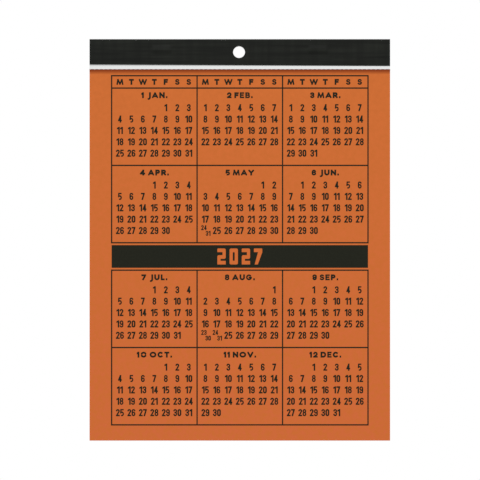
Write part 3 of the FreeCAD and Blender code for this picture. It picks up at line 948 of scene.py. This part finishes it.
def bulge(across, up):
    """How far the tape stands proud over the staples' crowns at a place."""
    height = 0.0
    for node in ("staple_left", "staple_right"):
        low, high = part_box(node)
        aside = max(low[0] - across, across - high[0], 0.0)
        beside = max(low[2] - up, up - high[2], 0.0)
        fall = smooth_fall(math.hypot(aside, beside), BULGE_REACH)
        height = max(height, (cover_front - low[1]) * fall)
    return height


def tape_ring(across, heights, share):
    """The tape's outline at one place along its length. Its lower edges run a little out of level."""
    front_foot = tape_high[2] - TAPE_FRONT_LEFT - (TAPE_FRONT_RIGHT - TAPE_FRONT_LEFT) * share
    front = cover_front - TAPE_THICKNESS
    stack = -TAPE_THICKNESS - cover_front
    back_drop = TAPE_WIDTH - stack - TAPE_THICKNESS - (tape_high[2] - front_foot)
    back_foot = tape_high[2] - back_drop
    shoulder = tape_high[2] - TAPE_THICKNESS
    ring = []
    for height in heights:
        up = front_foot + (shoulder - front_foot) * height
        ring.append((across, front - bulge(across, up), up))
    front_angles = range(180 - FOLD_STEP, 89, -FOLD_STEP)
    back_angles = range(90, -1, -FOLD_STEP)
    for centre, angles in ((cover_front, front_angles), (-TAPE_THICKNESS, back_angles)):
        for angle in angles:
            turn = math.radians(angle)
            ring.append((across, centre + TAPE_THICKNESS * math.cos(turn),
                         shoulder + TAPE_THICKNESS * math.sin(turn)))
    ring.append((across, 0, back_foot))
    ring.append((across, -TAPE_THICKNESS, back_foot))
    ring.append((across, -TAPE_THICKNESS, shoulder))
    for height in reversed(heights):
        up = front_foot + (shoulder - front_foot) * height
        ring.append((across, cover_front - bulge(across, up), up))
    return ring


def punch_hole(piece):
    """Cuts the hanging hole through a piece."""
    bpy.ops.mesh.primitive_cylinder_add(vertices=HOLE_SEGMENTS, radius=HOLE_RADIUS,
                                        depth=CUTTER_DEPTH, rotation=(math.pi / 2, 0, 0))
    cutter = bpy.context.object
    cut = piece.modifiers.new("hole", "BOOLEAN")
    cut.object = cutter
    cut.solver = "EXACT"
    with bpy.context.temp_override(object=piece, active_object=piece, selected_objects=[piece]):
        bpy.ops.object.modifier_apply(modifier=cut.name)
    bpy.data.objects.remove(cutter)


def make_tape(material):
    """The binding tape, folded over the head and soft over the staples."""
    spans = []
    for node in ("staple_left", "staple_right"):
        low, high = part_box(node)
        spans.append((low[0] - BULGE_REACH, high[0] + BULGE_REACH))
    low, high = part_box("staple_left")
    leg = TAPE_FRONT_LEFT - TAPE_THICKNESS
    foot = tape_high[2] - TAPE_FRONT_LEFT
    span = ((low[2] - BULGE_REACH - foot) / leg, (high[2] + BULGE_REACH - foot) / leg)
    heights = spread(0, 1, *HEIGHT_STEPS, [span])
    places = spread(tape_low[0], tape_high[0], *LENGTH_STEPS, spans)
    points = []
    for across in places:
        share = (across - tape_low[0]) / (tape_high[0] - tape_low[0])
        points += tape_ring(across, heights, share)
    count = len(points) // len(places)
    faces = [list(range(count)), list(range(len(points) - count, len(points)))]
    for place in range(len(places) - 1):
        for corner in range(count):
            start = place * count + corner
            after = place * count + (corner + 1) % count
            faces.append([start, after, after + count, start + count])
    tape = new_piece("folded_tape", points, faces, material, "tape", "binding_tape")
    punch_hole(tape)
    tape.data.shade_smooth()
    tape.data.set_sharp_from_angle(angle=math.radians(SHARP_ANGLE))


def add_sun(name, strength, softness, turn):
    """A distant light. The turn is round the upright axis, from the front."""
    data = bpy.data.lights.new(name, "SUN")
    data.energy = strength
    data.angle = math.radians(softness)
    sun = bpy.data.objects.new(name, data)
    bpy.context.collection.objects.link(sun)
    sun.rotation_euler = (math.radians(90 - SUN_ELEVATION), 0, math.radians(turn))


def add_lights_and_camera():
    """The light from above and the front, a weak one for the back, and the camera square to the
    cover."""
    add_sun("key", SUN_STRENGTH, SUN_SOFTNESS, SUN_TURN)
    add_sun("rear", REAR_STRENGTH, REAR_SOFTNESS, REAR_TURN)
    camera_data = bpy.data.cameras.new("camera")
    camera_data.lens = LENS
    camera_data.sensor_width = SENSOR
    camera = bpy.data.objects.new("camera", camera_data)
    bpy.context.collection.objects.link(camera)
    distance = LENS / SENSOR * VIEW_WIDTH
    camera.location = (VIEW_CENTRE[0], cover_front - distance, VIEW_CENTRE[1])
    camera.rotation_euler = (math.pi / 2, 0, 0)
    bpy.context.scene.camera = camera


def make_world():
    """A white background for the camera over a soft even sky."""
    world = bpy.data.worlds.new("sky")
    world.use_nodes = True
    bpy.context.scene.world = world
    nodes = world.node_tree.nodes
    links = world.node_tree.links
    background = nodes["Background"]
    background.inputs["Color"].default_value = (1, 1, 1, 1)
    rays = nodes.new("ShaderNodeLightPath")
    strength = nodes.new("ShaderNodeMapRange")
    strength.inputs["To Min"].default_value = SKY_STRENGTH
    strength.inputs["To Max"].default_value = 1.0
    links.new(rays.outputs["Is Camera Ray"], strength.inputs["Value"])
    links.new(strength.outputs["Result"], background.inputs["Strength"])


board_look = board_material()
paper_look = white_paper_material()
cover_look = cover_paper_material()
tape_look = tape_material()
steel_look = steel_material()
ink_look = ink_material()

dress(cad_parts["backing_board"], board_look)
dress(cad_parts["month_leaves"], paper_look)
dress(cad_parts["cover_sheet"], cover_look)
dress(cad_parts["staple_left"], steel_look)
dress(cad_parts["staple_right"], steel_look)
print_rules(ink_look)
print_band(ink_look)
print_days(ink_look)
print_headings(ink_look)
make_tape(tape_look)

make_world()
add_lights_and_camera()

bpy.context.scene.view_settings.view_transform = "Standard"
